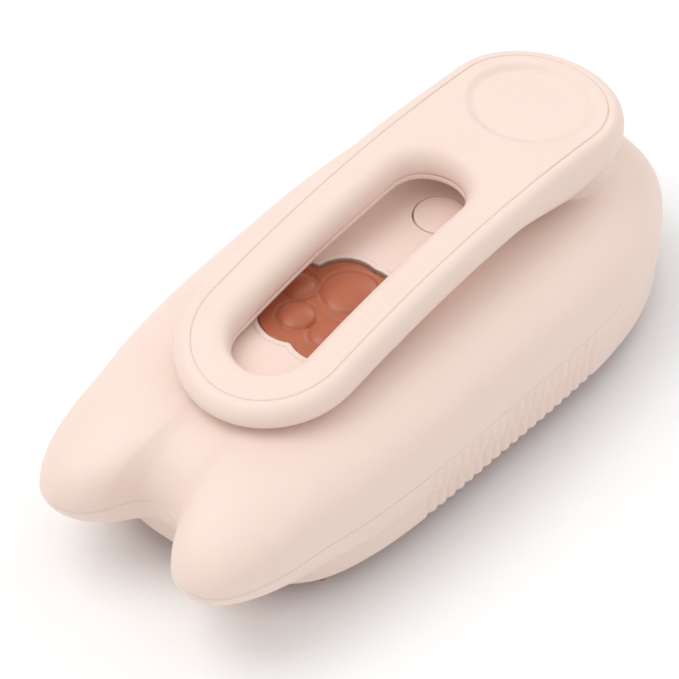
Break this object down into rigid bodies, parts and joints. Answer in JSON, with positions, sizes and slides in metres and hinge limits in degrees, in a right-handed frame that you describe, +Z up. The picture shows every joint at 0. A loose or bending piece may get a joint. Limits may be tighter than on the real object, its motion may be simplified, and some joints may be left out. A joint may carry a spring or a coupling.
{
  "type": "electric pet grooming brush",
  "caption": "Cordless cat-eared mist brush for pets, with a ring handle that swings out behind the domed body, a paw-shaped filler plug and silicone bristles.",
  "frame": {"origin": "under the middle of the brush's length and width, on the plane of the bristle tips that it stands on", "axes": "+X across the brush, +Y along it from the ears to the tail, +Z up from the bristles to the handle"},
  "size_m": [0.0754, 0.1646, 0.0525],
  "materials": {
    "cream_casing": "satin moulded ABS",
    "brown_silicone": "soft satin silicone",
    "clear_tank": "clear moulded tank plastic",
    "bright_steel": "bright plated steel",
    "black_nylon": "matt black nylon",
    "white_nylon": "white acetal",
    "cream_rubber": "matt silicone rubber",
    "white_cotton": "pressed cotton fibre",
    "green_board": "solder-masked laminate",
    "battery_wrap": "shrink sleeve",
    "smoked_lens": "smoked light pipe"
  },
  "bodies": {
    "casing": {"upper_shell": "cream_casing", "lower_shell": "cream_casing", "base_plate": "cream_casing", "bristle_pad": "brown_silicone", "nozzle_ring": "white_nylon", "wave_washer": "bright_steel", "wick_spring": "bright_steel", "atomizer_disc": "bright_steel", "charge_socket": "bright_steel", "atomizer_seal": "cream_rubber", "filler_gasket": "cream_rubber", "wick": "white_cotton", "water_tank": "clear_tank", "battery": "battery_wrap", "battery_cradle": "black_nylon", "tact_switch": "black_nylon", "circuit_board": "green_board", "port_board": "green_board", "shell_screw_1": "bright_steel", "shell_screw_2": "bright_steel", "shell_screw_3": "bright_steel", "shell_screw_4": "bright_steel", "board_screw_1": "bright_steel", "board_screw_2": "bright_steel"},
    "handle": {"handle_cover": "cream_casing", "handle_base": "cream_casing", "pivot_retainer": "white_nylon", "pivot_screw": "bright_steel", "handle_screw_1": "bright_steel", "handle_screw_2": "bright_steel", "handle_screw_3": "bright_steel", "handle_screw_4": "bright_steel"},
    "button": {"power_button": "cream_casing", "indicator_light": "smoked_lens"},
    "plug": {"paw_plug": "brown_silicone"},
    "flap": {"port_flap": "cream_rubber"}
  },
  "joints": [
    {"name": "handle_swivel", "type": "hinge", "parent": "casing", "child": "handle", "pos_m": [0, 0.0537, 0.0383], "axis": [0, 0, 1], "range_deg": [0, 180]},
    {"name": "button_press", "type": "slide", "parent": "casing", "child": "button", "axis": [0, 0, -1], "range_m": [0, 0.0008], "stiffness_N_per_m": 900},
    {"name": "plug_lift", "type": "slide", "parent": "casing", "child": "plug", "axis": [0, 0, 1], "range_m": [0, 0.0012]},
    {"name": "flap_hinge", "type": "hinge", "parent": "casing", "child": "flap", "pos_m": [0, 0.0808, 0.019], "axis": [1, 0, 0], "range_deg": [0, 90]}
  ]
}
